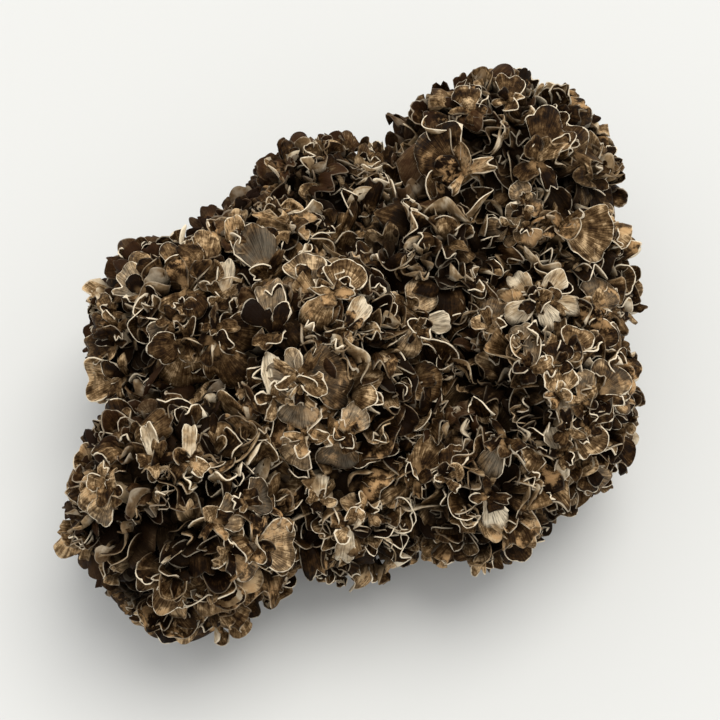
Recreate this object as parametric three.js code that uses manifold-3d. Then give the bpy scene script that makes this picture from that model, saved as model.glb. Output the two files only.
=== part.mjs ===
// A wild maitake mushroom (hen of the woods), picked whole and standing on its cut butt.
// Millimetres, +Z up. The origin is the centre of the cut face that the mushroom stands on.
// A pale butt splits into thick branches. Each branch carries one head, a ball of tufts,
// and each tuft is a few fan-shaped, wavy caps that open from one root and overlap the next tuft.

import * as THREE from 'three';
import { mergeVertices } from 'three/addons/utils/BufferGeometryUtils.js';
import Module from 'manifold-3d';

const wasm = await Module();
wasm.setup();

const UP = new THREE.Vector3(0, 0, 1);

// The heads: the centre and radius of the ball that a head's cap tips reach
const HEADS = [
  { name: 'head_far_right', centre: [114, 134, 98], radius: 94, seed: 11 },
  { name: 'head_far_middle', centre: [-14, 104, 92], radius: 70, seed: 23 },
  { name: 'head_left_far', centre: [-106, 18, 86], radius: 82, seed: 37 },
  { name: 'head_left_near', centre: [-104, -118, 82], radius: 90, seed: 41 },
  { name: 'head_centre', centre: [-12, -34, 108], radius: 86, seed: 59 },
  { name: 'head_right', centre: [126, -38, 84], radius: 84, seed: 61 },
  { name: 'head_mid_right', centre: [142, 52, 80], radius: 76, seed: 113 },
  { name: 'head_near_right', centre: [92, -92, 78], radius: 68, seed: 73 },
  { name: 'head_inner_right', centre: [52, 44, 104], radius: 74, seed: 83 },
  { name: 'head_inner_left', centre: [-52, 50, 104], radius: 66, seed: 97 },
  { name: 'head_near_middle', centre: [2, -98, 68], radius: 68, seed: 101 },
];

// The butt and its branches
const BUTT_RADIUS = 56;
const BUTT_HEIGHT = 62;
const BUTT_SIDES = 14;
const BUTT_PROFILE = [[0, 0.9], [0.16, 1], [0.5, 0.9], [0.82, 0.72], [1, 0.45]];
const BUTT_LOBES = [{ count: 3, depth: 0.09, turn: 1 }, { count: 5, depth: 0.06, turn: 0 }];
const FORK_HEIGHT = 40;
const BRANCH_SIDES = 6;
const BRANCH_STEPS = 3;
const BRANCH_START_RADIUS = 21;
const BRANCH_END_SHARE = 0.5;
const BRANCH_SINK_SHARE = 0.35;
const BRANCH_SAG = 14;
const BRANCH_FLATTEN = 0.85;
const JOIN_GAP = 0.35;

// Cores and tufts. A tuft's room on the head's ball is a multiple of its cap length squared
const CORE_SHARE = 0.56;
const CORE_LUMPS = 0.14;
const CORE_WAVES = [5, 4, 3];
const TUFT_ROOM = 2.4;
const TUFT_CAPS = 4;
const TUFT_LOWEST = 10;
const TUFT_DOWN_LIMIT = -0.7;
const TUFT_INWARD_LIMIT = 0.7;
const TUFT_CLEARANCE = 3;
const TUFT_FRONT_SHARE = 0.85;
const TUFT_TURN_JITTER = 0.5;
const TUFT_TWIST = 3;
const TUFT_SIZES = [0.78, 1.25];
const POLE_LIFT = 0.45;
const GOLDEN_ANGLE = Math.PI * (3 - Math.sqrt(5));

// Caps
const CAP_LENGTH_BASE = 10;
const CAP_LENGTH_SHARE = 0.46;
const CAP_ROOT_SPREAD = 10;
const CAP_ROWS = [1, 2, 4];
const CAP_ROW_PLACES = [0, 0.56, 1];
const CAP_ROOT_THICKNESS = 5;
const CAP_RIM_THICKNESS = 1.5;
const CAP_SINK = 5;
const CAP_TURN_JITTER = 0.3;
const CAP_NECK_SHARE = 0.35;
const CAP_NECK_END = 0.6;
const CAP_CORNER_CUT = 0.16;
const CAP_CLEARANCE = 3;
const CAP_REACH = 1.02;
const CAP_GAP = 0.4;
const CAP_GAP_SPREAD = 3;
const CAP_MOST_BENT_SHARE = 0.5;
const FLOOR_GAP = 0.8;

// What is drawn for each cap, in the order of the draws: its place round the tuft, how far it
// leans from the pole, its length, half angle, droop, cup, waves, roll and gap to a neighbouring head
const CAP_RANGES = {
  turn: [0, 1],
  spread: [0.55, 1.15],
  size: [0.8, 1.16],
  fan: [0.48, 0.78],
  bend: [0.1, 1],
  cup: [-0.25, 0.45],
  wave: [0.05, 0.16],
  waves: [1.6, 2.8],
  phase: [0, 2 * Math.PI],
  roll: [-0.3, 0.3],
  gap: [CAP_GAP, CAP_GAP + CAP_GAP_SPREAD],
};

// Where a direction is this close to upright, across is taken along X
const NEARLY_UPRIGHT = 0.05;

const FLESH_LOOK = { color: 0xd9c7a6, roughness: 0.8, metalness: 0 };
const CAP_LOOK = { color: 0x4a3a28, roughness: 0.85, metalness: 0 };

const vector = (list) => new THREE.Vector3(...list);
const mix = (low, high, share) => low + (high - low) * share;
const clamp = (value, low, high) => Math.min(high, Math.max(low, value));

// Repeatable draws between 0 and 1
function seeded(seed) {
  let state = seed * 7919;
  const draw = () => {
    state = (state * 48271) % 2147483647;
    return state / 2147483647;
  };
  draw();
  draw();
  return draw;
}

// A closed triangle mesh as a solid
function solidFrom(points, faces) {
  return new wasm.Manifold(new wasm.Mesh({
    numProp: 3,
    vertProperties: new Float32Array(points.flatMap((p) => [p.x, p.y, p.z])),
    triVerts: new Uint32Array(faces.flat()),
  }));
}

// Rings of equal length joined into a closed tube
function tubeFrom(rings) {
  const sides = rings[0].length;
  const faces = [];
  for (let ring = 0; ring + 1 < rings.length; ring++) {
    for (let i = 0; i < sides; i++) {
      const a = ring * sides + i;
      const b = ring * sides + (i + 1) % sides;
      faces.push([a, b, b + sides], [a, b + sides, a + sides]);
    }
  }
  const last = (rings.length - 1) * sides;
  for (let i = 1; i + 1 < sides; i++) {
    faces.push([0, i + 1, i], [last, last + i, last + i + 1]);
  }
  return solidFrom(rings.flat(), faces);
}

// Two directions square to a given one: across, which is level, and over
function squareTo(direction) {
  const across = new THREE.Vector3().crossVectors(direction, UP);
  if (across.length() < NEARLY_UPRIGHT) across.set(1, 0, 0);
  across.normalize();
  const over = new THREE.Vector3().crossVectors(across, direction).normalize();
  return { across, over };
}

// A ring of points round a centre, square to a direction
function ringRound(centre, direction, radius, sides, flatten) {
  const { across, over } = squareTo(direction);
  return Array.from({ length: sides }, (_, i) => {
    const turn = (-2 * Math.PI * i) / sides;
    return centre.clone()
      .addScaledVector(across, radius * Math.cos(turn))
      .addScaledVector(over, radius * flatten * Math.sin(turn));
  });
}

// The largest body of a solid, without the walls of sealed hollows and without loose scraps
function largestBody(solid) {
  return solid.decompose().reduce((best, body) => (body.volume() > best.volume() ? body : best));
}

// The flat walls that a head keeps within: one towards each neighbour, and the floor
function wallsOf(head) {
  const centre = vector(head.centre);
  const walls = HEADS.filter((other) => other !== head).map((other) => {
    const towards = vector(other.centre).sub(centre);
    const distance = towards.length();
    const normal = towards.normalize();
    const share = (distance ** 2 + head.radius ** 2 - other.radius ** 2) / (2 * distance);
    return { normal, limit: normal.dot(centre) + share };
  });
  walls.push({ normal: new THREE.Vector3(0, 0, -1), limit: -FLOOR_GAP });
  return walls;
}

// How far a head's core bulges or dips in a direction, as a share of its mean radius
function lumpOf(head, out) {
  const [a, b, c] = CORE_WAVES;
  return 1 + CORE_LUMPS * Math.sin(a * out.x + head.seed) * Math.cos(b * out.y - c * out.z);
}

// Moves a point back inside the walls and returns how far it moved
function keepInside(point, walls, gap) {
  let moved = 0;
  for (const wall of walls) {
    const over = wall.normal.dot(point) - wall.limit + gap;
    if (over > 0) {
      point.addScaledVector(wall.normal, -over);
      moved = Math.max(moved, over);
    }
  }
  return moved;
}

// The random shape of one cap
const drawCap = (draw) => Object.fromEntries(
  Object.entries(CAP_RANGES).map(([name, [low, high]]) => [name, mix(low, high, draw())]),
);

// The tufts of a head: where each one sits, which way it faces and the caps that it carries
function tuftsOf(head) {
  const draw = seeded(head.seed);
  const walls = wallsOf(head);
  const centre = vector(head.centre);
  const inward = new THREE.Vector3(0, 0, FORK_HEIGHT).sub(centre).normalize();
  const capLength = CAP_LENGTH_BASE + CAP_LENGTH_SHARE * head.radius;
  const count = Math.round((4 * Math.PI * head.radius ** 2) / (TUFT_ROOM * capLength ** 2));
  const tufts = [];
  for (let i = 0; i < count; i++) {
    const height = 1 - (2 * i + 1) / count;
    const turn = i * GOLDEN_ANGLE + draw() * TUFT_TURN_JITTER;
    const ring = Math.sqrt(1 - height ** 2);
    const out = new THREE.Vector3(ring * Math.cos(turn), ring * Math.sin(turn), height);
    const size = mix(...TUFT_SIZES, draw());
    const caps = Array.from({ length: TUFT_CAPS }, () => drawCap(draw));
    const length = capLength * size;
    const depth = CORE_SHARE * head.radius * lumpOf(head, out) - CAP_SINK;
    const root = centre.clone().addScaledVector(out, depth);
    const front = centre.clone().addScaledVector(out, TUFT_FRONT_SHARE * head.radius);
    const hidden = out.z < TUFT_DOWN_LIMIT || out.dot(inward) > TUFT_INWARD_LIMIT
      || front.z < TUFT_LOWEST
      || walls.some((wall) => wall.normal.dot(front) > wall.limit - TUFT_CLEARANCE);
    if (!hidden) tufts.push({ out, root, length, turn: turn * TUFT_TWIST, caps });
  }
  return tufts;
}

// How far a cap can go from its root before its tip leaves the head's ball
function roomAhead(head, root, along) {
  const from = root.clone().sub(vector(head.centre));
  const ahead = from.dot(along);
  const reach = CAP_REACH * head.radius;
  return Math.sqrt(ahead ** 2 + reach ** 2 - from.lengthSq()) - ahead;
}

// Where a cap points, and the way its brown upper face looks. The caps of a tuft open round
// its pole, like a funnel, and the pole leans from the way out of the head towards the light
function aimCap(head, tuft, cap, index, walls) {
  const pole = tuft.out.clone().lerp(UP, POLE_LIFT).normalize();
  const { across, over } = squareTo(pole);
  const turn = (2 * Math.PI * (index + CAP_TURN_JITTER * cap.turn)) / TUFT_CAPS + tuft.turn;
  const away = across.multiplyScalar(Math.cos(turn)).addScaledVector(over, Math.sin(turn));
  const along = pole.clone().multiplyScalar(Math.cos(cap.spread))
    .addScaledVector(away, Math.sin(cap.spread));
  let length = tuft.length * cap.size;
  for (const wall of walls) {
    const tip = wall.normal.dot(tuft.root) + length * wall.normal.dot(along);
    const excess = tip - wall.limit + CAP_CLEARANCE;
    if (excess > 0) along.addScaledVector(wall.normal, -excess / length).normalize();
  }
  const face = pole.clone().addScaledVector(along, -pole.dot(along)).normalize();
  const side = new THREE.Vector3().crossVectors(along, face).normalize();
  side.applyAxisAngle(along, cap.roll);
  face.applyAxisAngle(along, cap.roll);
  const root = tuft.root.clone().addScaledVector(away, CAP_ROOT_SPREAD);
  length = Math.min(length, roomAhead(head, root, along));
  return { root, along, side, face, length };
}

// A point of a cap's middle surface, from u = 0 at the root to 1 at the rim, and v from -1 to 1 across
function capPoint(cap, aim, u, v) {
  const opening = clamp(u / CAP_NECK_END, 0, 1);
  const widening = opening * opening * (3 - 2 * opening);
  const angle = v * cap.fan * mix(CAP_NECK_SHARE, 1, widening);
  const rimLength = aim.length * (1 - CAP_CORNER_CUT * Math.abs(v) ** 3);
  const reach = (rimLength * Math.sin(cap.bend * u)) / cap.bend;
  const droop = (rimLength * (1 - Math.cos(cap.bend * u))) / cap.bend;
  const x = reach * Math.sin(angle);
  const y = reach * Math.cos(angle);
  const ripple = cap.wave * aim.length * u * u * Math.sin(cap.waves * Math.PI * v + cap.phase);
  const z = -droop + (cap.cup * x * x) / aim.length + ripple;
  return aim.root.clone()
    .addScaledVector(aim.side, x)
    .addScaledVector(aim.along, y)
    .addScaledVector(aim.face, z);
}

// The strip of triangles between two rows of points, wound so that the upper face looks out
function strip(startA, countA, startB, countB) {
  const faces = [];
  let a = 0;
  let b = 0;
  while (a + 1 < countA || b + 1 < countB) {
    const nextA = countA > 1 ? (a + 1) / (countA - 1) : 2;
    const nextB = countB > 1 ? (b + 1) / (countB - 1) : 2;
    if (b + 1 < countB && nextB <= nextA + 1e-9) {
      faces.push([startA + a, startB + b + 1, startB + b]);
      b += 1;
    } else {
      faces.push([startA + a, startA + a + 1, startB + b]);
      a += 1;
    }
  }
  return faces;
}

// The rows of a cap's mesh, its faces seen from above, and its outline in order
const CAP_STARTS = CAP_ROWS.map((_, row) => CAP_ROWS.slice(0, row).reduce((a, b) => a + b, 0));
const CAP_FACES = CAP_ROWS.slice(1).flatMap((count, i) => (
  strip(CAP_STARTS[i], CAP_ROWS[i], CAP_STARTS[i + 1], count)
));
const CAP_OUTLINE = [
  ...CAP_STARTS.map((start, row) => start + CAP_ROWS[row] - 1),
  ...Array.from({ length: CAP_ROWS.at(-1) - 2 }, (_, i) => CAP_STARTS.at(-1) + CAP_ROWS.at(-1) - 2 - i),
  ...CAP_STARTS.slice(1).reverse(),
];

// One cap as a solid blade, or null where its neighbours leave it no room
function capSolid(head, tuft, cap, index, walls) {
  const aim = aimCap(head, tuft, cap, index, walls);
  const middle = [];
  const halves = [];
  let bent = 0;
  CAP_ROWS.forEach((count, row) => {
    const u = CAP_ROW_PLACES[row];
    for (let i = 0; i < count; i++) {
      const v = count > 1 ? mix(-1, 1, i / (count - 1)) : 0;
      const point = capPoint(cap, aim, u, v);
      bent = Math.max(bent, keepInside(point, walls, cap.gap + CAP_ROOT_THICKNESS / 2));
      middle.push(point);
      halves.push(mix(CAP_ROOT_THICKNESS, CAP_RIM_THICKNESS, Math.sqrt(u)) / 2);
    }
  });
  if (bent > CAP_MOST_BENT_SHARE * aim.length) return null;
  const normals = middle.map(() => new THREE.Vector3());
  for (const [a, b, c] of CAP_FACES) {
    const square = new THREE.Vector3().crossVectors(
      middle[b].clone().sub(middle[a]),
      middle[c].clone().sub(middle[a]),
    );
    for (const corner of [a, b, c]) normals[corner].add(square);
  }
  const upper = middle.map((p, i) => p.clone().addScaledVector(normals[i].normalize(), halves[i]));
  const lower = middle.map((p, i) => p.clone().addScaledVector(normals[i], -halves[i]));
  const count = middle.length;
  const faces = CAP_FACES.flatMap(([a, b, c]) => [[a, b, c], [a + count, c + count, b + count]]);
  CAP_OUTLINE.forEach((a, i) => {
    const b = CAP_OUTLINE[(i + 1) % CAP_OUTLINE.length];
    faces.push([b, a, a + count], [b, a + count, b + count]);
  });
  return solidFrom([...upper, ...lower], faces);
}

// The lumpy core that a head's caps grow from
function coreSolid(head, walls) {
  const ball = new THREE.IcosahedronGeometry(1, 1);
  ball.deleteAttribute('normal');
  ball.deleteAttribute('uv');
  const welded = mergeVertices(ball);
  const centre = vector(head.centre);
  const points = [];
  const place = welded.getAttribute('position');
  for (let i = 0; i < place.count; i++) {
    const out = new THREE.Vector3().fromBufferAttribute(place, i);
    const point = centre.clone().addScaledVector(out, CORE_SHARE * head.radius * lumpOf(head, out));
    keepInside(point, walls, CAP_GAP);
    points.push(point);
  }
  const order = Array.from(welded.index.array);
  const faces = Array.from({ length: order.length / 3 }, (_, i) => order.slice(3 * i, 3 * i + 3));
  return solidFrom(points, faces);
}

// The butt: a lobed, flat-footed stump
function buttSolid(grow) {
  const rings = BUTT_PROFILE.map(([rise, share]) => (
    Array.from({ length: BUTT_SIDES }, (_, i) => {
      const turn = (2 * Math.PI * i) / BUTT_SIDES;
      const lobes = BUTT_LOBES.map((lobe) => lobe.depth * Math.sin(lobe.count * turn + lobe.turn));
      const radius = BUTT_RADIUS * share * lobes.reduce((a, b) => a + b, 1) + grow;
      return new THREE.Vector3(radius * Math.cos(turn), radius * Math.sin(turn), BUTT_HEIGHT * rise);
    })
  ));
  return tubeFrom(rings);
}

// The branch from the butt into a head's core, sagging a little on its way
function branchSolid(head, grow) {
  const fork = new THREE.Vector3(0, 0, FORK_HEIGHT);
  const centre = vector(head.centre);
  const coreRadius = CORE_SHARE * head.radius;
  const back = fork.clone().sub(centre).normalize();
  const end = centre.clone().addScaledVector(back, BRANCH_SINK_SHARE * coreRadius);
  const rings = Array.from({ length: BRANCH_STEPS }, (_, i) => {
    const share = i / (BRANCH_STEPS - 1);
    const place = fork.clone().lerp(end, share);
    place.z -= BRANCH_SAG * Math.sin(Math.PI * share);
    const radius = mix(BRANCH_START_RADIUS, BRANCH_END_SHARE * coreRadius, share) + grow;
    return ringRound(place, back.clone().negate(), radius, BRANCH_SIDES, BRANCH_FLATTEN);
  });
  return tubeFrom(rings);
}

// The whole pale butt with its branches, or the same a little larger, to clear room for it
const stemSolid = (grow) => largestBody(
  wasm.Manifold.union([buttSolid(grow), ...HEADS.map((head) => branchSolid(head, grow))]),
);

function headSolid(head, room) {
  const walls = wallsOf(head);
  const pieces = [coreSolid(head, walls)];
  for (const tuft of tuftsOf(head)) {
    tuft.caps.forEach((cap, index) => {
      const blade = capSolid(head, tuft, cap, index, walls);
      if (blade) pieces.push(blade);
    });
  }
  return largestBody(wasm.Manifold.union(pieces).subtract(room));
}

// A solid as a named mesh with its own material
function meshOf(name, solid, look) {
  const { vertProperties, triVerts } = solid.getMesh();
  const geometry = new THREE.BufferGeometry();
  geometry.setAttribute('position', new THREE.BufferAttribute(vertProperties, 3));
  geometry.setIndex(new THREE.BufferAttribute(triVerts, 1));
  geometry.computeVertexNormals();
  const mesh = new THREE.Mesh(geometry, new THREE.MeshStandardMaterial(look));
  mesh.name = name;
  return mesh;
}

const maitake = new THREE.Group();
maitake.add(meshOf('stem_base', stemSolid(0), FLESH_LOOK));
const room = stemSolid(JOIN_GAP);
for (const head of HEADS) maitake.add(meshOf(head.name, headSolid(head, room), CAP_LOOK));

export default maitake;
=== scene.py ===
"""A wild maitake mushroom: fine caps and pale flesh, with a floor, light and a camera.

The large caps follow the same rule as the frame's solids. Smaller ones overlap them like tiles or open
as rosettes, and single ones stand where the photo shows them. Lengths are millimetres until a mesh is
made.
"""

import math
from collections import namedtuple

import bpy
import numpy as np
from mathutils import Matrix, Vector, noise
from mathutils.bvhtree import BVHTree


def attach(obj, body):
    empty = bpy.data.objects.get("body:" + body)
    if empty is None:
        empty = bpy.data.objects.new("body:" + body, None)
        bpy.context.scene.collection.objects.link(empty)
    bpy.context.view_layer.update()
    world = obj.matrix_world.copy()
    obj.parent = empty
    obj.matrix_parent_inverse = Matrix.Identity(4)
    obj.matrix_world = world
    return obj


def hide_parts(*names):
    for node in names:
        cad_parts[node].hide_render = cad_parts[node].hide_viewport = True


MM = 0.001
UP = np.array([0.0, 0.0, 1.0])

Head = namedtuple("Head", "name centre radius seed")
Aim = namedtuple("Aim", "root along side face length")

# The heads: the centre and radius of the ball that a head's cap tips reach, and the seed of its draws
HEADS = [
    Head(name, np.array(centre, float), radius, seed)
    for name, centre, radius, seed in (
        ("head_far_right", (114, 134, 98), 94, 11),
        ("head_far_middle", (-14, 104, 92), 70, 23),
        ("head_left_far", (-106, 18, 86), 82, 37),
        ("head_left_near", (-104, -118, 82), 90, 41),
        ("head_centre", (-12, -34, 108), 86, 59),
        ("head_right", (126, -38, 84), 84, 61),
        ("head_mid_right", (142, 52, 80), 76, 113),
        ("head_near_right", (92, -92, 78), 68, 73),
        ("head_inner_right", (52, 44, 104), 74, 83),
        ("head_inner_left", (-52, 50, 104), 66, 97),
        ("head_near_middle", (2, -98, 68), 68, 101),
    )
]

# The butt and its branches, as in the frame
BUTT_RADIUS = 56
BUTT_HEIGHT = 62
BUTT_PROFILE = [(0, 0.9), (0.16, 1), (0.5, 0.9), (0.82, 0.72), (1, 0.45)]
FORK_HEIGHT = 40
BRANCH_START_RADIUS = 21
BRANCH_END_SHARE = 0.5
BRANCH_SINK_SHARE = 0.35
BRANCH_SAG = 14
BRANCH_FLATTEN = 0.85

# Cores, tufts and their large caps, as in the frame
CORE_SHARE = 0.56
CORE_LUMPS = 0.14
TUFT_ROOM = 2.4
TUFT_CAPS = 4
TUFT_LOWEST = 10
TUFT_DOWN_LIMIT = -0.7
TUFT_INWARD_LIMIT = 0.7
TUFT_CLEARANCE = 3
TUFT_FRONT_SHARE = 0.85
TUFT_TURN_JITTER = 0.5
TUFT_TWIST = 3
TUFT_SIZES = (0.78, 1.25)
POLE_LIFT = 0.45
GOLDEN_ANGLE = math.pi * (3 - math.sqrt(5))
CAP_LENGTH_BASE = 10
CAP_LENGTH_SHARE = 0.46
CAP_ROOT_SPREAD = 10
CAP_SINK = 5
CAP_TURN_JITTER = 0.3
CAP_NECK_SHARE = 0.35
CAP_NECK_END = 0.6
CAP_CORNER_CUT = 0.16
CAP_CLEARANCE = 3
CAP_REACH = 1.02
FLOOR_GAP = 0.8

# The frame draws from each of these too, and it alone uses the gap
CAP_RANGES = {
    "turn": (0, 1),
    "spread": (0.55, 1.15),
    "size": (0.8, 1.16),
    "fan": (0.48, 0.78),
    "bend": (0.1, 1.0),
    "cup": (-0.25, 0.45),
    "wave": (0.05, 0.16),
    "waves": (1.6, 2.8),
    "phase": (0, 2 * math.pi),
    "roll": (-0.3, 0.3),
    "gap": (0, 1),
}

# Finer forms than the frame's
FLESH_CORE_SHARE = 0.5
FLESH_VOXEL = 4.2
FLESH_SOFTENING = (0.6, 6)
# Where the flesh's painted shade near the cores fades out, as multiples of the core radius
FLESH_SHADE_BAND = (1.0, 1.3)
FILLER_DENSITY = 2.2
FILLER_CLEARANCE = -6
FILLER_TURNS = (1.0, 1.6)
FILLER_RISES = (0, 12)
ROOT_THICKNESS = 3.2
RIM_THICKNESS = 0.75
WALL_SOFTNESS = 11.0
CEILING = 193
SMALLEST_CAP = 7.0
SMALL_CAP_REACH = (0.92, 1.09)
WIDEST_FAN = 1.6
CLEFT_WIDTH = 0.2
NOTCH_POWER = 1.6
CORNER_POWER = 2.4
NECK_TAPER = 0.6
SPOON_WAVE = 1.6
SPOON_BOWL = 1.2
FAN_PLEAT = 0.010
SPOON_PLEAT = 0.016
FIBRE_SCALE = 30
ROOT_PLACE = 0.07
ROSETTE_SPACING = 1.5
SHINGLE_LIFT = 1.5
SHINGLE_COUNTS = (3, 6)
GROOVE_REACH = 0.9
GROOVE_TURNS = (-0.95, 0.0, 0.95)
GROOVE_DEPTH = 0.5
GROOVE_LIFT = 5

# Where along a cap its rim starts to curl, and how strongly
FAN_CURL = (0.72, 4)
SPOON_CURL = (0.6, 2.5)

# Rosettes, as tiers of (number of caps, spread from the middle, share of the length)
FAN_ROSETTE = ((4, 0.95, 1.0), (3, 0.5, 0.85))
TUFT_ROSETTE = ((5, 0.95, 1.0), (4, 0.6, 0.9), (2, 0.25, 0.75))
FILLING_ROSETTE = ((4, 0.85, 1.0), (2, 0.4, 0.95))
GROOVE_ROSETTE = ((5, 0.85, 1.0), (3, 0.35, 1.0))
STANDOUT_ROSETTE = ((4, 0.8, 1.0),)

# Stalks of the flesh: the radius at the core and at the end
TUFT_STALK = (12, 4)
GROOVE_STALK = (12, 5)
STANDOUT_STALK = (7, 3.5)
STALK_START = 0.45
TUFT_STALK_SHARE = 0.35

# Mesh grids: points round the butt, a branch, a core and a stalk, and rings along the first three
BUTT_GRID = (36, 9)
BRANCH_GRID = (16, 8)
CORE_GRID = (24, 15)
CORE_POLE = 0.48
STALK_SIDES = 10

# A cap is left out where fewer than this many of its points can be seen from any side
SEEN_POINTS = 4
SIGHT_LINES = 48
SIGHT_LOWEST = -0.35
SIGHT_OFFSET = 1.6
SIGHT_GRID = ([0.15, 0.5, 0.8, 1.0], [-1.0, -0.5, 0.0, 0.5, 1.0])

CAMERA_ELEVATION = math.radians(61)
CAMERA_DISTANCE = 1112
CAMERA_VIEW = math.radians(26)
CAMERA_TARGET = np.array([11.0, -4.0, 83.0])
CAMERA_SENSOR = 36
PHOTO_SIZE = 720

# The floor's width in metres, and the studio's light
FLOOR_WIDTH = 60
FLOOR_COLOUR = (0.666, 0.698, 0.730, 1)
SKY_COLOUR = (1.0, 0.96, 0.90, 1)
SKY_STRENGTH = 0.86
LAMP_COLOUR = (1.0, 0.94, 0.84)
LAMP_ENERGY = 1.75
LAMP_SPREAD = math.radians(44)
LAMP_FROM = (0.44, 0.48, 1.7)

# Caps that stand out in the photo: the pixel at the cap's middle, its length and half angle, the way
# it points on the picture (degrees from the right, turning up), its cup, and how pale it is. A small
# cap with a cover point in front of one is left out
STANDOUT_DEPTH = 0.97
STANDOUT_CLEAR = 0.38
COVER_POINTS = np.array([[0.35, 0.0], [0.7, 0.0], [0.95, -0.6], [0.95, 0.0], [0.95, 0.6]])
STANDOUTS = [
    # far right head
    ((437, 152), 44, 0.95, 140, 0.1, 0.0),
    ((552, 132), 42, 0.85, 62, 0.15, 0.0),
    ((590, 234), 40, 1.15, -12, 0.1, 0.0),
    ((520, 190), 14, 1.1, 120, 0.05, 0.1),
    ((513, 212), 13, 1.2, 190, 0.05, 0.1),
    ((535, 205), 15, 1.1, 20, 0.1, 0.1),
    ((521, 236), 22, 1.3, 262, 0.15, 0.1),
    ((494, 232), 18, 1.1, 200, 0.1, 0.1),
    ((468, 95), 22, 0.8, 100, 0.1, 0.0),
    ((512, 85), 24, 0.8, 75, 0.1, 0.0),
    # pale open flower and the round cap beside it
    ((521, 286), 25, 0.55, 128, 0.75, 1.0),
    ((553, 284), 25, 0.5, 52, 0.75, 1.0),
    ((566, 306), 24, 0.55, -8, 0.75, 1.0),
    ((548, 316), 20, 0.6, -62, 0.75, 0.9),
    ((520, 312), 22, 0.65, 215, 0.7, 1.0),
    ((603, 293), 24, 1.2, 60, 0.2, 0.1),
    # middle
    ((307, 267), 25, 1.05, 105, 0.15, 0.1),
    ((347, 276), 27, 1.05, 72, 0.2, 0.0),
    ((258, 250), 42, 0.6, 112, 0.15, 0.12),
    ((272, 300), 42, 0.38, 97, 0.2, 0.15),
    ((318, 311), 30, 0.6, 235, 0.1, 0.0),
    ((358, 312), 26, 0.45, 60, 0.6, 0.9),
    ((419, 299), 28, 0.75, 48, 0.3, 0.2),
    ((435, 325), 26, 0.5, 5, 0.55, 0.8),
    ((411, 345), 18, 0.8, 250, 0.1, 0.1),
    # funnel
    ((286, 368), 26, 0.95, 140, 0.35, 0.2),
    ((331, 372), 38, 1.05, 5, 0.25, 0.05),
    ((284, 398), 24, 0.9, 215, 0.3, 0.15),
    ((300, 414), 24, 1.0, 262, 0.2, 0.2),
    ((270, 372), 30, 0.28, 100, 0.5, 1.0),
    # near rosettes
    ((292, 452), 24, 1.05, 225, 0.15, 0.1),
    ((338, 458), 26, 1.0, 262, 0.1, 0.1),
    ((419, 455), 30, 1.1, 85, 0.2, 0.0),
    ((451, 458), 24, 0.7, 80, 0.15, 0.0),
    ((355, 418), 22, 0.8, 50, 0.2, 0.2),
    ((345, 548), 28, 0.34, 262, 0.2, 0.7),
    ((495, 515), 24, 0.6, 290, 0.3, 0.8),
    ((318, 482), 22, 0.4, 95, 0.4, 0.8),
    # left near head
    ((279, 545), 32, 1.1, -5, 0.1, 0.05),
    ((261, 498), 20, 1.2, 15, 0.2, 0.1),
    ((233, 515), 24, 0.85, 20, 0.15, 0.1),
    ((250, 560), 26, 0.9, -25, 0.1, 0.1),
    ((92, 500), 26, 0.8, 232, 0.25, 0.0),
    ((101, 510), 20, 0.75, 232, 0.25, 0.1),
    ((150, 440), 26, 0.26, 110, 0.5, 0.8),
    ((190, 440), 26, 0.22, 85, 0.5, 0.9),
    # left far head
    ((129, 281), 28, 0.8, 135, 0.15, 0.25),
    ((103, 302), 20, 0.4, 130, 0.2, 0.0),
    ((185, 258), 40, 0.6, 95, 0.1, 0.0),
    ((209, 245), 36, 0.5, 80, 0.1, 0.0),
    ((141, 263), 30, 0.5, 150, 0.1, 0.0),
    ((159, 335), 22, 0.9, 230, 0.15, 0.1),
    ((192, 307), 12, 1.0, 0, 0.2, 0.0),
    ((236, 335), 28, 1.0, -20, 0.4, 0.0),
    ((242, 294), 28, 0.45, 80, 0.15, 0.2),
    ((182, 373), 40, 1.0, 260, 0.1, 0.0),
    ((223, 367), 34, 0.9, 290, 0.1, 0.0),
    ((102, 377), 34, 0.8, 185, 0.1, 0.0),
    ((96, 347), 28, 0.6, 190, 0.1, 0.0),
    ((98, 326), 26, 0.5, 175, 0.1, 0.0),
    ((225, 275), 30, 0.28, 80, 0.5, 0.9),
    # right head
    ((494, 308), 26, 0.6, 80, 0.15, 0.1),
    ((521, 330), 13, 1.0, 100, 0.1, 0.3),
    ((533, 350), 24, 0.35, 80, 0.2, 0.1),
    ((559, 350), 20, 0.95, 80, 0.15, 0.0),
    ((558, 380), 20, 1.1, 90, 0.1, 0.0),
    ((585, 383), 22, 0.5, 80, 0.2, 0.1),
    ((609, 377), 30, 0.9, 50, 0.1, 0.05),
    ((627, 364), 26, 0.8, 30, 0.1, 0.0),
    ((625, 396), 28, 0.8, -10, 0.1, 0.0),
    ((577, 337), 20, 1.1, 60, 0.2, 0.0),
    ((565, 409), 25, 0.35, 95, 0.5, 0.5),
    ((596, 409), 22, 1.0, 60, 0.15, 0.0),
    ((591, 441), 26, 0.9, -30, 0.1, 0.0),
    ((559, 438), 20, 0.8, 100, 0.2, 0.4),
    ((562, 469), 22, 0.3, 260, 0.4, 0.9),
    ((492, 460), 28, 0.5, 240, 0.5, 0.2),
    ((533, 455), 22, 0.9, 230, 0.1, 0.0),
    ((599, 482), 26, 0.8, -40, 0.15, 0.1),
]


def unit(vector):
    return vector / np.linalg.norm(vector)


def mix(low, high, share):
    return low + (high - low) * share


def smooth(low, high, value):
    share = np.clip((value - low) / (high - low), 0, 1)
    return share * share * (3 - 2 * share)


def turned(vector, axis, angle):
    """The vector turned about an axis by the right-hand rule."""
    return (
        vector * math.cos(angle)
        + np.cross(axis, vector) * math.sin(angle)
        + axis * axis.dot(vector) * (1 - math.cos(angle))
    )


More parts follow.
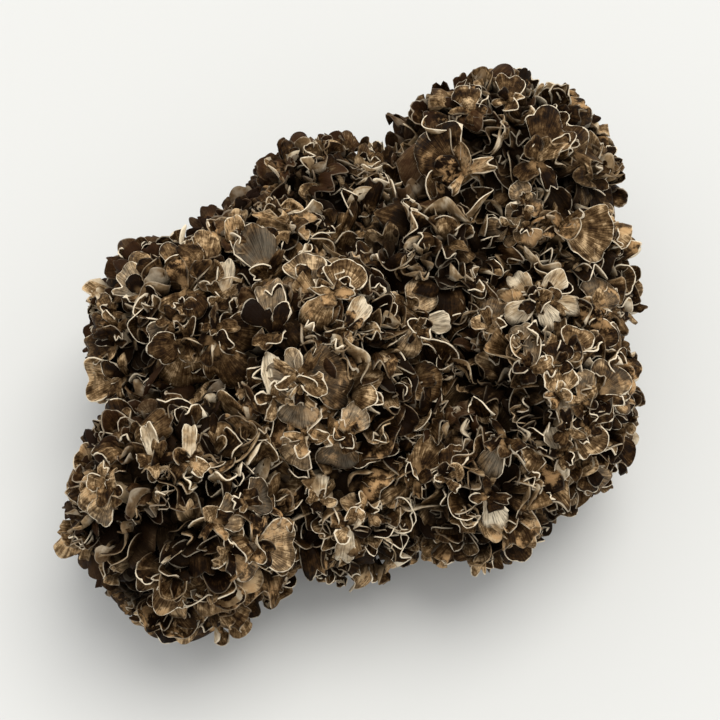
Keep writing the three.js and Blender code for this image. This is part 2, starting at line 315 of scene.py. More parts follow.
def square_to(direction):
    """Two directions square to a given one: across, which is level, and over."""
    across = np.cross(direction, UP)
    if np.linalg.norm(across) < 0.05:
        across = np.array([1.0, 0.0, 0.0])
    across = unit(across)
    return across, unit(np.cross(across, direction))


def seeded(seed):
    """Repeatable draws between 0 and 1, the same as the frame's."""
    state = seed * 7919

    def draw():
        nonlocal state
        state = (state * 48271) % 2147483647
        return state / 2147483647

    draw()
    draw()
    return draw


def wall_between(head, other):
    """The wall between two heads: the way it faces and how far it is from the first head's centre."""
    towards = other.centre - head.centre
    distance = np.linalg.norm(towards)
    return towards / distance, (distance**2 + head.radius**2 - other.radius**2) / (2 * distance)


def walls_of(head, opened=None):
    """The flat walls that a head keeps within: towards each neighbour but an opened one, and the floor."""
    normals = []
    limits = []
    for other in HEADS:
        if other is head or other is opened:
            continue
        normal, distance = wall_between(head, other)
        normals.append(normal)
        limits.append(normal.dot(head.centre) + distance)
    normals.append(-UP)
    limits.append(-FLOOR_GAP)
    return np.array(normals), np.array(limits)


def pole_of(out):
    """The way that what stands on a core in a direction grows: outwards, and somewhat up."""
    return unit(mix(out, UP, POLE_LIFT))


def lump_of(head, out):
    """How far a head's core bulges or dips in a direction, as a share of its mean radius."""
    return 1 + CORE_LUMPS * np.sin(5 * out[..., 0] + head.seed) * np.cos(4 * out[..., 1] - 3 * out[..., 2])


def keep_inside(points, walls):
    """Eases points back inside the walls and under the ceiling, and keeps them above the floor."""
    normals, limits = walls
    points = points.copy()
    for normal, limit in [*zip(normals[:-1], limits[:-1]), (UP, CEILING)]:
        over = np.maximum(points @ normal - limit + WALL_SOFTNESS / 2, 0)
        eased = WALL_SOFTNESS * (1 - np.exp(-over / WALL_SOFTNESS))
        points -= (over - eased)[..., None] * normal
    lowest = FLOOR_GAP + ROOT_THICKNESS / 2
    points[..., 2] = np.maximum(points[..., 2], lowest)
    return points


def room_ahead(head, root, along, reach=CAP_REACH):
    """How far a cap can go from its root before its tip leaves the head's ball."""
    start = root - head.centre
    ahead = start.dot(along)
    return math.sqrt(max(ahead**2 + (reach * head.radius) ** 2 - start.dot(start), 0)) - ahead


def direction_at(height, turn):
    ring = math.sqrt(1 - height**2)
    return np.array([ring * math.cos(turn), ring * math.sin(turn), height])


def lattice(head, count, turns, clearance):
    """Places spread evenly over a head's ball, without those that its neighbours or the ground hide."""
    normals, limits = walls_of(head)
    inward = unit(UP * FORK_HEIGHT - head.centre)
    for i in range(count):
        turn = i * GOLDEN_ANGLE + turns(i)
        out = direction_at(1 - (2 * i + 1) / count, turn)
        front = head.centre + out * TUFT_FRONT_SHARE * head.radius
        hidden = (
            out[2] < TUFT_DOWN_LIMIT
            or out.dot(inward) > TUFT_INWARD_LIMIT
            or front[2] < TUFT_LOWEST
            or np.any(normals @ front > limits - clearance)
        )
        if not hidden:
            yield i, turn, out


def cap_length_of(head):
    return CAP_LENGTH_BASE + CAP_LENGTH_SHARE * head.radius


def tuft_count_of(head):
    """How many tufts would fit round a whole ball. Halves are rounded up, as in the frame."""
    return math.floor(4 * math.pi * head.radius**2 / (TUFT_ROOM * cap_length_of(head) ** 2) + 0.5)


def tufts_of(head):
    """The tufts of a head, as in the frame: where each one sits, which way it faces, and its caps."""
    draw = seeded(head.seed)
    drawn = {}

    def turns(i):
        jitter = draw() * TUFT_TURN_JITTER
        size = mix(*TUFT_SIZES, draw())
        caps = [{name: mix(*ends, draw()) for name, ends in CAP_RANGES.items()} for _ in range(TUFT_CAPS)]
        drawn[i] = (size, caps)
        return jitter

    tufts = []
    for i, turn, out in lattice(head, tuft_count_of(head), turns, TUFT_CLEARANCE):
        size, caps = drawn[i]
        root = head.centre + out * (CORE_SHARE * head.radius * lump_of(head, out) - CAP_SINK)
        length = cap_length_of(head) * size
        tufts.append({"out": out, "root": root, "length": length, "turn": turn * TUFT_TWIST, "caps": caps})
    return tufts


def aim_cap(head, tuft, cap, index, walls):
    """Where a large cap points, and the way its brown upper face looks, as in the frame."""
    pole = pole_of(tuft["out"])
    across, over = square_to(pole)
    turn = 2 * math.pi * (index + CAP_TURN_JITTER * cap["turn"]) / TUFT_CAPS + tuft["turn"]
    away = across * math.cos(turn) + over * math.sin(turn)
    along = pole * math.cos(cap["spread"]) + away * math.sin(cap["spread"])
    length = tuft["length"] * cap["size"]
    for normal, limit in zip(*walls):
        excess = normal.dot(tuft["root"]) + length * normal.dot(along) - limit + CAP_CLEARANCE
        if excess > 0:
            along = unit(along - normal * excess / length)
    root = tuft["root"] + away * CAP_ROOT_SPREAD
    return frame_round(root, along, pole, cap["roll"], min(length, room_ahead(head, root, along)))


def frame_round(root, along, face, roll, length):
    """An aim whose upper side looks as much as it can along face."""
    face = unit(face - along * along.dot(face))
    side = unit(np.cross(along, face))
    return Aim(root, along, turned(side, along, roll), turned(face, along, roll), length)


def placed(aim, x, y, z):
    """Points at these distances to the side of, along and above an aim."""
    return aim.root + aim.side * x[..., None] + aim.along * y[..., None] + aim.face * z[..., None]


def margin_of(cap, v):
    """How far the rim stands out or in across a cap, from its broad lobes and its scallops."""
    lobes = cap["lobe"] * np.cos(cap["lobes"] * math.pi * v + cap["lobe_phase"])
    notches = 1 - np.abs(np.cos(cap["scallops"] * v + cap["phase"]))
    cleft = cap["cleft"] * np.exp(-(((v - cap["cleft_place"]) / CLEFT_WIDTH) ** 2))
    return lobes - cap["scallop"] * notches**NOTCH_POWER - cleft + cap["skew"] * v


def fan_surface(cap, aim, u, v):
    """The middle surface of a large fan, as in the frame but ruffled and pleated, and half its width."""
    angle = v * cap["fan"] * mix(CAP_NECK_SHARE, 1, smooth(0, CAP_NECK_END, u))
    rim_length = aim.length * (1 - CAP_CORNER_CUT * np.abs(v) ** 3 + margin_of(cap, v) * u**2)
    reach = rim_length * np.sin(cap["bend"] * u) / cap["bend"]
    droop = rim_length * (1 - np.cos(cap["bend"] * u)) / cap["bend"]
    x = reach * np.sin(angle)
    y = reach * np.cos(angle)
    ripple = cap["wave"] * u**2 * np.sin(cap["waves"] * math.pi * v + cap["phase"])
    ruffle = cap["ruffle"] * u**4 * np.sin(cap["ruffles"] * math.pi * v + 2 * cap["phase"])
    start, strength = FAN_CURL
    curl = cap["curl"] * np.maximum(u - start, 0) ** 2 * strength
    pleat = FAN_PLEAT * u * np.sin(cap["pleats"] * v + cap["lobe_phase"])
    z = -droop + cap["cup"] * x * x / aim.length + aim.length * (ripple + ruffle - curl + pleat)
    return placed(aim, x, y, z), np.abs(reach) * cap["fan"]


def spoon_surface(cap, aim, u, v):
    """The middle surface of a smaller cap, a stalk that opens into a round blade, and half its width."""
    stalk = cap["stalk"]
    grown = np.maximum((u - stalk) / (1 - stalk), 0)
    radius = aim.length * (1 - stalk)
    reach = radius * grown * (1 - cap["round"] * np.abs(v) ** CORNER_POWER + margin_of(cap, v) * grown)
    width = cap["stem_width"] * (1 - NECK_TAPER * grown)
    x = width * v + reach * np.sin(v * cap["fan"])
    y = aim.length * np.minimum(u, stalk) + reach * np.cos(v * cap["fan"])
    wave = cap["wave"] * SPOON_WAVE * grown**2 * np.sin(cap["waves"] * math.pi * v + cap["phase"])
    ruffle = cap["ruffle"] * grown**3 * np.sin(cap["ruffles"] * math.pi * v + 2 * cap["phase"])
    start, strength = SPOON_CURL
    curl = cap["curl"] * np.maximum(grown - start, 0) ** 2 * strength
    pleat = SPOON_PLEAT * grown * np.sin(cap["pleats"] * v + cap["lobe_phase"])
    bowl = cap["cup"] * (np.sin(v * cap["fan"]) * grown) ** 2 / SPOON_BOWL
    z = -cap["bend"] * y * y / (2 * aim.length) + radius * (bowl + wave + ruffle - curl + pleat)
    return placed(aim, x, y, z), cap["stem_width"] + reach * min(cap["fan"], WIDEST_FAN)


def surface_of(cap, aim, u, v):
    return (spoon_surface if "stalk" in cap else fan_surface)(cap, aim, u, v)


def normals_of(middle):
    """The way a cap's middle surface faces at each point of its grid."""
    normal = np.cross(np.gradient(middle, axis=1), np.gradient(middle, axis=0))
    return normal / (np.linalg.norm(normal, axis=2, keepdims=True) + 1e-9)


def grid_for(length, width):
    """Gaps along a cap's mesh, an even number, and a quarter of the gaps along its rim, by its size."""
    return 2 * int(np.clip(round(1 + length / 14), 2, 4)), int(np.clip(round(2.2 + width / 9), 3, 9))


def stitched(near, far):
    """Faces between two lines of points, one of which may have a multiple of the other's gaps."""
    gaps = min(len(near), len(far)) - 1
    near_step = (len(near) - 1) // gaps
    far_step = (len(far) - 1) // gaps
    for i in range(gaps):
        near_part = near[i * near_step : (i + 1) * near_step + 1]
        far_part = far[i * far_step : (i + 1) * far_step + 1]
        yield [*near_part, *far_part[::-1]]


def blade_faces(top, low):
    """The faces of a closed blade, from the rows of points of its upper and lower side."""
    faces = []
    for near, far in zip(top, top[1:]):
        faces.extend(stitched(near, far))
    for near, far in zip(low, low[1:]):
        faces.extend(stitched(far, near))
    faces.extend(stitched(low[0], top[0]))
    faces.extend(stitched(top[-1], low[-1]))
    faces.extend(stitched([row[0] for row in top], [row[0] for row in low]))
    faces.extend(stitched([row[-1] for row in low], [row[-1] for row in top]))
    return faces


def rows_of(first, counts):
    """Numbers the points of rows that have these counts, from a first number on."""
    rows = []
    for count in counts:
        rows.append(list(range(first, first + count)))
        first += count
    return rows


def cap_blade(cap, aim, walls):
    """One cap as a closed blade: its points, faces and what its material reads at each point.

    The rim has the finest row of points, the rest of the upper side half as many and the lower side a
    quarter.
    """
    stalk = cap.get("stalk", 0.0)
    rim_radius = max(aim.length * (1 - stalk) * min(cap["fan"], WIDEST_FAN), 4.0)
    gaps, quarter = grid_for(aim.length, 2 * rim_radius)
    u_places = np.linspace(ROOT_PLACE, 1, gaps + 1)
    if stalk:
        u_places = np.append(0.0, np.linspace(stalk, 1, gaps))
    u, v = np.meshgrid(u_places, np.linspace(-1, 1, 4 * quarter + 1), indexing="ij")
    middle, half_width = surface_of(cap, aim, u, v)
    middle = keep_inside(middle, walls)
    normal = normals_of(middle)
    thickness = mix(ROOT_THICKNESS, cap["rim"], np.sqrt(u))[..., None] / 2
    edge = np.minimum((1 - u) * aim.length, (1 - np.abs(v)) * half_width)
    if stalk:
        edge = np.where(u <= stalk, 2.0, edge)
    place = np.stack([u, v * rim_radius / FIBRE_SCALE, edge], axis=-1)

    used_top = [(row, 1 if row == gaps else 2) for row in range(gaps + 1)]
    used_low = [(row, 2 if row == gaps else 4) for row in range(0, gaps + 1, 2)]
    points = [(middle + normal * thickness)[row, ::step] for row, step in used_top]
    top_count = sum(len(row) for row in points)
    points += [(middle - normal * thickness)[row, ::step] for row, step in used_low]
    top = rows_of(0, [4 * quarter // step + 1 for _, step in used_top])
    low = rows_of(top_count, [4 * quarter // step + 1 for _, step in used_low])
    points = np.concatenate(points)
    skins = np.full((len(points), 3), (0.0, cap["tint"], cap["pale"]))
    skins[top_count:, 0] = 1.0
    places = np.concatenate([place[row, ::step] for row, step in used_top + used_low])
    return points, blade_faces(top, low), places, skins


def add_fine_shape(cap, rng, burnt):
    """Adds what only the fine caps have: lobes, scallops, ruffles, a curled rim and colour."""
    ragged = burnt * rng.uniform()
    cap["lobe"] = rng.uniform(0.02, 0.07)
    cap["lobes"] = rng.uniform(1.0, 2.2)
    cap["lobe_phase"] = rng.uniform(0, 2 * math.pi)
    cap["scallop"] = rng.uniform(0.03, 0.15) + 0.16 * ragged
    cap["scallops"] = rng.uniform(2.2, 4.6) + 2.0 * ragged
    cap["cleft"] = max(rng.uniform(-0.5, 0.45), 0) if cap["fan"] > 0.5 else 0.0
    cap["cleft_place"] = rng.uniform(-0.6, 0.6)
    cap["skew"] = rng.uniform(-0.14, 0.14)
    cap["ruffle"] = rng.uniform(0.0, 0.05)
    cap["ruffles"] = rng.uniform(1.8, 3.2)
    cap["pleats"] = rng.uniform(6, 10)
    cap.setdefault("curl", rng.uniform(-0.6, 1.0))
    cap["rim"] = RIM_THICKNESS * rng.uniform(0.75, 1.3)
    cap.setdefault("tint", rng.uniform(0, 1))
    cap.setdefault("pale", 0.0)
    cap.setdefault("clear", rng.uniform(0, 1) ** 2)
    cap["burn"] = burnt * rng.uniform(0.4, 1.0) if rng.uniform() < 0.35 + 0.5 * burnt else 0.0


def small_cap(rng):
    """The random shape of a small cap: from a narrow tongue to a round disc."""
    breadth = rng.uniform() ** 1.5
    return {
        "fan": mix(0.30, 1.30, breadth),
        "round": mix(0.34, 0.5, breadth) + rng.uniform(-0.06, 0.06),
        "stalk": rng.uniform(0.12, 0.34),
        "stem_width": rng.uniform(1.6, 3.0),
        "bend": rng.uniform(-0.1, 0.8),
        "cup": rng.uniform(-0.3, 0.8),
        "wave": rng.uniform(0.04, 0.16),
        "waves": rng.uniform(1.0, 2.0),
        "phase": rng.uniform(0, 2 * math.pi),
    }


def rosette(root, pole, size, rng, tiers):
    """The caps of a small rosette, as (cap, aim). Each tier is (number, spread, length share)."""
    across, _ = square_to(pole)
    for number, spread, share in tiers:
        start_turn = rng.uniform(0, 2 * math.pi)
        for index in range(number):
            away = turned(across, pole, start_turn + 2 * math.pi * (index + rng.uniform(0, 0.5)) / number)
            tilt = spread + rng.uniform(-0.3, 0.3)
            along = unit(pole * math.cos(tilt) + away * math.sin(tilt))
            length = size * share * rng.uniform(0.8, 1.2)
            cap = small_cap(rng)
            start = root + away * ROSETTE_SPACING
            yield cap, frame_round(start, along, pole, rng.uniform(-0.7, 0.7), length)


def shingles(cap, aim, rng):
    """Smaller caps that overlap a large fan like tiles, as (cap, aim)."""
    for _ in range(rng.integers(*SHINGLE_COUNTS)):
        place = rng.uniform(0.28, 0.7)
        across = rng.uniform(-0.85, 0.85)
        lean = turned(aim.along, aim.face, -across * cap["fan"])
        slope = cap["bend"] * place
        ahead = lean * math.cos(slope) - aim.face * math.sin(slope)
        face = aim.face * math.cos(slope) + lean * math.sin(slope)
        start, _ = fan_surface(cap, aim, np.array([place]), np.array([across]))
        rise = rng.uniform(0.2, 0.7)
        along = unit(ahead * math.cos(rise) + face * math.sin(rise))
        length = aim.length * (1.04 - place) * rng.uniform(0.75, 1.15)
        small = small_cap(rng)
        small["curl"] = rng.uniform(-0.8, 0.0)
        small["bend"] = min(small["bend"], 0.3)
        root = start[0] + face * SHINGLE_LIFT
        yield small, frame_round(root, along, face, rng.uniform(-0.3, 0.3), length)


def camera_axes():
    """The camera's place and its directions: back from the picture, right and up."""
    back = np.array([0.0, -math.cos(CAMERA_ELEVATION), math.sin(CAMERA_ELEVATION)])
    right = np.array([1.0, 0.0, 0.0])
    return CAMERA_TARGET + back * CAMERA_DISTANCE, back, right, np.cross(back, right)


def place_in_photo(pixel):
    """The head that shows at a pixel of the photo, and the point of its ball there."""
    eye, back, right, up = camera_axes()
    focal = PHOTO_SIZE / 2 / math.tan(CAMERA_VIEW / 2)
    ray = unit(right * (pixel[0] - PHOTO_SIZE / 2) + up * (PHOTO_SIZE / 2 - pixel[1]) - back * focal)
    found = []
    for head in HEADS:
        radius = head.radius * STANDOUT_DEPTH
        ahead = (head.centre - eye).dot(ray)
        miss = np.linalg.norm(eye + ray * ahead - head.centre)
        depth = math.sqrt(max(radius**2 - miss**2, 0))
        found.append((max(miss - radius, 0), ahead - depth, head, miss, radius))
    _, distance, head, miss, radius = min(found, key=lambda hit: hit[:2])
    point = eye + ray * distance
    if miss > radius:
        point = head.centre + unit(point - head.centre) * radius
    return head, point


def standouts():
    """The caps that stand out in the photo, as (head, cap, aim, middle)."""
    eye, _, right, up = camera_axes()
    for pixel, length, fan, turn, cup, pale in STANDOUTS:
        head, middle = place_in_photo(pixel)
        face = unit(unit(middle - head.centre) * 0.5 + unit(eye - middle) * 0.75)
        flat = right * math.cos(math.radians(turn)) + up * math.sin(math.radians(turn))
        along = unit(flat - face * face.dot(flat))
        cap = {
            "fan": fan,
            "round": 0.36,
            "stalk": 0.12,
            "stem_width": 4.0,
            "bend": 0.4,
            "cup": cup,
            "wave": 0.07,
            "waves": 1.4,
            "phase": math.radians(turn + pixel[0]),
            "pale": pale,
            "tint": 0.65 + 0.25 * math.sin(pixel[0] + pixel[1]),
            "clear": 0.8,
        }
        yield head, cap, frame_round(middle - along * length * 0.55, along, face, 0, length), middle


def hides_standout(points, standing):
    """Whether a cap would come between the camera and a cap that stands out."""
    eye = camera_axes()[0]
    for _, _, aim, middle in standing:
        ahead = unit(eye - middle)
        from_middle = points - middle
        depth = from_middle @ ahead
        beside = np.linalg.norm(from_middle - depth[:, None] * ahead, axis=1)
        if np.any((depth > 1) & (beside < aim.length * STANDOUT_CLEAR)):
            return True
    return False


def tuft_caps(head, tuft, walls, rng):
    """The large caps of a tuft, with the shingles and rosettes on them, as (cap, aim)."""
    for index, cap in enumerate(tuft["caps"]):
        aim = aim_cap(head, tuft, cap, index, walls)
        add_fine_shape(cap, rng, burnt_at(tuft["out"]))
        yield cap, aim
        yield from shingles(cap, aim, rng)
        if index % 2:
            continue
        place = rng.uniform(0.25, 0.5)
        droop = aim.face * cap["bend"] * aim.length * place**2 / 2
        start = aim.root + aim.along * aim.length * place - droop
        grown = unit(aim.face * 0.9 + aim.along * 0.45 + UP * 0.25)
        size = aim.length * (1.05 - place) * rng.uniform(0.7, 1.0)
        yield from rosette(start, grown, size, rng, FAN_ROSETTE)
    pole = pole_of(tuft["out"])
    centre = tuft["root"] + pole * tuft["length"] * rng.uniform(0.25, 0.5)
    yield from rosette(centre, pole, tuft["length"] * 0.5, rng, TUFT_ROSETTE)


def large_caps(head, walls, rng):
    """The caps of every tuft of a head, as (cap, aim, out)."""
    for tuft in tufts_of(head):
        for cap, aim in tuft_caps(head, tuft, walls, rng):
            yield cap, aim, tuft["out"]


def filling_caps(head, rng):
    """Rosettes spread over a head's core, which fill the gaps between its tufts."""
    count = int(tuft_count_of(head) * FILLER_DENSITY)
    for _, _, out in lattice(head, count, lambda i: rng.uniform(*FILLER_TURNS), FILLER_CLEARANCE):
        depth = CORE_SHARE * head.radius * lump_of(head, out) - CAP_SINK + rng.uniform(*FILLER_RISES)
        pole = pole_of(out)
        size = cap_length_of(head) * rng.uniform(0.45, 0.7)
        for small, small_aim in rosette(head.centre + out * depth, pole, size, rng, FILLING_ROSETTE):
            yield small, small_aim, out


def groove_places(head):
    """Places low in the grooves between a head and its neighbours of a higher seed, to be filled."""
    for other in HEADS:
        if other.seed <= head.seed:
            continue
        normal, distance = wall_between(head, other)
        if distance > GROOVE_REACH * head.radius:
            continue
        ring = math.sqrt(head.radius**2 - distance**2)
        rise = unit(UP - normal * normal[2])
        for turn in GROOVE_TURNS:
            out = turned(rise, normal, turn)
            yield other, head.centre + normal * distance + out * ring * GROOVE_DEPTH, out, ring


def groove_caps(head, rng):
    """Rosettes in the grooves, which may reach over into the neighbour, as (cap, aim, out, walls)."""
    for other, root, out, ring in groove_places(head):
        walls = walls_of(head, other)
        size = (1 - GROOVE_DEPTH) * ring + GROOVE_LIFT
        for small, small_aim in rosette(root, out, size, rng, GROOVE_ROSETTE):
            yield small, small_aim, out, walls


def burnt_at(out):
    """How dark and ragged the rims are on this side of a head: most on the left, far and low sides."""
    return float(smooth(0.1, 0.9, -out[0] * 0.5 + out[1] * 0.5 + 0.35 * (1 - out[2])))


def caps_of(head, standing):
    """Every cap of a head before the hidden ones are left out, as (cap, aim, walls)."""
    walls = walls_of(head)
    rng = np.random.default_rng(head.seed)
    found = []
    for carrier, cap, aim, _ in standing:
        if carrier is head:
            add_fine_shape(cap, rng, 0.0)
            found.append((cap, aim, walls))
            for small, small_aim in rosette(aim.root, aim.face, aim.length * 0.5, rng, STANDOUT_ROSETTE):
                add_fine_shape(small, rng, 0.0)
                found.append((small, small_aim, walls))
    for cap, aim, out in [*large_caps(head, walls, rng), *filling_caps(head, rng)]:
        if "stalk" in cap:
            add_fine_shape(cap, rng, burnt_at(out))
            room = room_ahead(head, aim.root, aim.along, rng.uniform(*SMALL_CAP_REACH))
            aim = aim._replace(length=min(aim.length, room))
            if aim.length < SMALLEST_CAP:
                continue
            if hides_standout(surface_of(cap, aim, *COVER_POINTS.T)[0], standing):
                continue
        found.append((cap, aim, walls))
    for cap, aim, out, opened_walls in groove_caps(head, rng):
        add_fine_shape(cap, rng, burnt_at(out))
        if not hides_standout(surface_of(cap, aim, *COVER_POINTS.T)[0], standing):
            found.append((cap, aim, opened_walls))
    return found


def sight_lines():
    """Directions towards every side from which the mushroom can be looked at."""
    heights = [mix(1, SIGHT_LOWEST, (i + 0.5) / SIGHT_LINES) for i in range(SIGHT_LINES)]
    return [Vector(direction_at(height, i * GOLDEN_ANGLE)) for i, height in enumerate(heights)]


def seen_caps(caps_by_head):
    """The caps of each head that can be seen from any side, past all the other caps and the cores."""
    u, v = np.meshgrid(*SIGHT_GRID, indexing="ij")
    grid = np.arange(u.size).reshape(u.shape)
    corners = np.stack([grid[:-1, :-1], grid[:-1, 1:], grid[1:, 1:], grid[1:, :-1]], axis=-1)
    corners = corners.reshape(-1, 4).tolist()
    parts = []
    probes = []
    for found in caps_by_head:
        for cap, aim, walls in found:
            middle = keep_inside(surface_of(cap, aim, u, v)[0], walls)
            parts.append((middle.reshape(-1, 3), corners))
            probes.append([part[1:, 1:4].reshape(-1, 3) for part in (middle, normals_of(middle))])
    points, faces = joined(parts + [core_part(head) for head in HEADS])
    tree = BVHTree.FromPolygons(points.tolist(), faces)
    lines = sight_lines()
    probes = iter(probes)
    for found in caps_by_head:
        yield [each for each in found if is_seen(tree, lines, *next(probes))]


def is_seen(tree, lines, points, normals):
    """Whether enough of a cap's points can be seen along any of the sight lines."""
    seen = 0
    for point, normal in zip(points, normals):
        point = Vector(point)
        normal = Vector(normal)
        for line in lines:
            start = point + normal * math.copysign(SIGHT_OFFSET, normal.dot(line))
            if tree.ray_cast(start, line)[0] is None:
                seen += 1
                break
        if seen >= SEEN_POINTS:
            return True
    return False


def joined(parts):
    """The points and faces of several parts, numbered as those of one mesh."""
    faces = []
    start = 0
    for points, part_faces in parts:
        faces.extend([start + corner for corner in face] for face in part_faces)
        start += len(points)
    return np.concatenate([points for points, _ in parts]), faces


def add_object(name, data):
    """A new object in the scene, with a mesh, lamp or camera as its data."""
    made = bpy.data.objects.new(name, data)
    bpy.context.scene.collection.objects.link(made)
    return made


def mesh_object(name, points, faces, material):
    mesh = bpy.data.meshes.new(name)
    mesh.from_pydata((np.asarray(points) * MM).tolist(), [], faces)
    mesh.shade_smooth()
    mesh.materials.append(material)
    return add_object(name, mesh)


def write_vectors(mesh, name, values):
    layer = mesh.attributes.new(name, "FLOAT_VECTOR", "POINT")
    layer.data.foreach_set("vector", np.asarray(values, np.float32).ravel())


def make_head(head, found, material):
    """The fine caps of one head, as one piece that replaces the head's node."""
    blades = [cap_blade(cap, aim, walls) for cap, aim, walls in found]
    points, faces = joined([blade[:2] for blade in blades])
    wears_and_shade = np.repeat(
        [(cap["burn"], 0.0, cap["clear"]) for cap, _, _ in found],
        [len(blade[0]) for blade in blades],
        axis=0,
    )
    # The middle value is how far inside the head's ball a point lies, which the material darkens as painted
    # shade
    wears_and_shade[:, 1] = 1 - np.linalg.norm(points - head.centre, axis=1) / head.radius
    piece = mesh_object(head.name + "_caps", points, faces, material)
    write_vectors(piece.data, "cap_place", np.concatenate([blade[2] for blade in blades]))
    write_vectors(piece.data, "cap_look", np.concatenate([blade[3] for blade in blades]))
    write_vectors(piece.data, "cap_wear_and_shade", wears_and_shade)
    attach(piece, "root")
    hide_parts(head.name)
    return sum(len(face) - 2 for face in faces)


def tube(rings):
    """Rings of equal length as a closed tube of quads with flat ends."""
    sides = len(rings[0])
    points = np.concatenate(rings)
    faces = []
    for ring in range(len(rings) - 1):
        for i in range(sides):
            a = ring * sides + i
            b = ring * sides + (i + 1) % sides
            faces.append((a, b, b + sides, a + sides))
    faces.append(tuple(range(sides))[::-1])
    last = (len(rings) - 1) * sides
    faces.append(tuple(range(last, last + sides)))
    return points, faces


def ring_round(centre, direction, radius, sides, flatten=1.0):
    """A ring of points square to a direction, flattened from above where that is asked."""
    across, over = square_to(direction)
    turns = -2 * math.pi * np.arange(sides) / sides
    return centre + radius * (np.cos(turns)[:, None] * across + flatten * np.sin(turns)[:, None] * over)


def butt_part():
    """The lobed butt on its flat cut."""
    sides, levels = BUTT_GRID
    turns = 2 * math.pi * np.arange(sides) / sides
    lobes = 1 + 0.09 * np.sin(3 * turns + 1) + 0.06 * np.sin(5 * turns)
    rings = []
    for rise in np.linspace(0, 1, levels):
        radius = BUTT_RADIUS * np.interp(rise, *zip(*BUTT_PROFILE)) * lobes
        height = np.full(sides, BUTT_HEIGHT * rise)
        rings.append(np.stack([radius * np.cos(turns), radius * np.sin(turns), height], axis=-1))
    return tube(rings)


def branch_part(head):
    """A branch that sags from the fork into a head's core."""
    sides, steps = BRANCH_GRID
    fork = UP * FORK_HEIGHT
    core = CORE_SHARE * head.radius
    back = unit(fork - head.centre)
    end = head.centre + back * BRANCH_SINK_SHARE * core
    rings = []
    for share in np.linspace(0, 1, steps):
        place = mix(fork, end, share) - UP * BRANCH_SAG * math.sin(math.pi * share)
        radius = mix(BRANCH_START_RADIUS, BRANCH_END_SHARE * core, share)
        rings.append(ring_round(place, -back, radius, sides, BRANCH_FLATTEN))
    return tube(rings)


def core_part(head):
    """The lumpy core of a head, as rings from its lowest to its highest point."""
    sides, levels = CORE_GRID
    turns = 2 * math.pi * np.arange(sides) / sides
    rings = []
    for angle in np.linspace(-CORE_POLE, CORE_POLE, levels) * math.pi:
        level = np.full(sides, math.sin(angle))
        out = np.stack([math.cos(angle) * np.cos(turns), math.cos(angle) * np.sin(turns), level], axis=-1)
        rings.append(head.centre + out * (FLESH_CORE_SHARE * head.radius * lump_of(head, out))[:, None])
    points, faces = tube(rings)
    return keep_inside(points, walls_of(head)), faces


def stalk_part(head, end, start_radius, end_radius):
    """A stalk from inside a head's core to the root of what it carries."""
    start = mix(head.centre, end, STALK_START)
    ways = [(mix(start, end, share), mix(start_radius, end_radius, share)) for share in (0, 0.5, 1)]
    return tube([ring_round(place, unit(end - start), radius, STALK_SIDES) for place, radius in ways])


def flesh_parts(standing):
    """The butt, and the branch, core and stalks of each head."""
    parts = [butt_part()]
    for head in HEADS:
        parts.append(branch_part(head))
        parts.append(core_part(head))
        for tuft in tufts_of(head):
            pole = pole_of(tuft["out"])
            end = tuft["root"] + pole * tuft["length"] * TUFT_STALK_SHARE
            parts.append(stalk_part(head, end, *TUFT_STALK))
        parts.extend(stalk_part(head, root, *GROOVE_STALK) for _, root, _, _ in groove_places(head))
    parts.extend(stalk_part(head, aim.root, *STANDOUT_STALK) for head, _, aim, _ in standing)
    return parts


def skin_over(parts, material):
    """One soft skin round overlapping parts."""
    draft = mesh_object("flesh_draft", *joined(parts), material)
    remesh = draft.modifiers.new("skin", "REMESH")
    remesh.mode = "VOXEL"
    remesh.voxel_size = FLESH_VOXEL * MM
    soften = draft.modifiers.new("soften", "SMOOTH")
    soften.factor, soften.iterations = FLESH_SOFTENING
    skin = bpy.data.meshes.new_from_object(draft.evaluated_get(bpy.context.evaluated_depsgraph_get()))
    bpy.data.objects.remove(draft)
    return skin


def make_flesh(standing, material):
    """The pale flesh as one piece that replaces the node of the butt and branches."""
    skin = skin_over(flesh_parts(standing), material)
    skin.name = "flesh"
    normals = [normal.vector.copy() for normal in skin.vertex_normals]
    for vertex, normal in zip(skin.vertices, normals):
        swell = noise.noise(vertex.co * 45) * 1.6 + noise.noise(vertex.co * 140) * 0.5
        moved = vertex.co + normal * swell * MM
        moved.z = max(moved.z, 0.0)
        vertex.co = moved
    flesh = add_object("stem_base_flesh", skin)
    skin.shade_smooth()
    places = np.array([vertex.co for vertex in skin.vertices]) / MM
    # Painted shade: flesh near a head's core is marked here for darkening in its material
    depths = [np.linalg.norm(places - head.centre, axis=1) / (CORE_SHARE * head.radius) for head in HEADS]
    painted_core_shade = skin.attributes.new("painted_core_shade", "FLOAT", "POINT")
    painted_core_shade.data.foreach_set("value", (1 - smooth(*FLESH_SHADE_BAND, np.min(depths, axis=0))).astype(np.float32))
    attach(flesh, "root")
    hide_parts("stem_base")
    return sum(len(face.vertices) - 2 for face in skin.polygons)


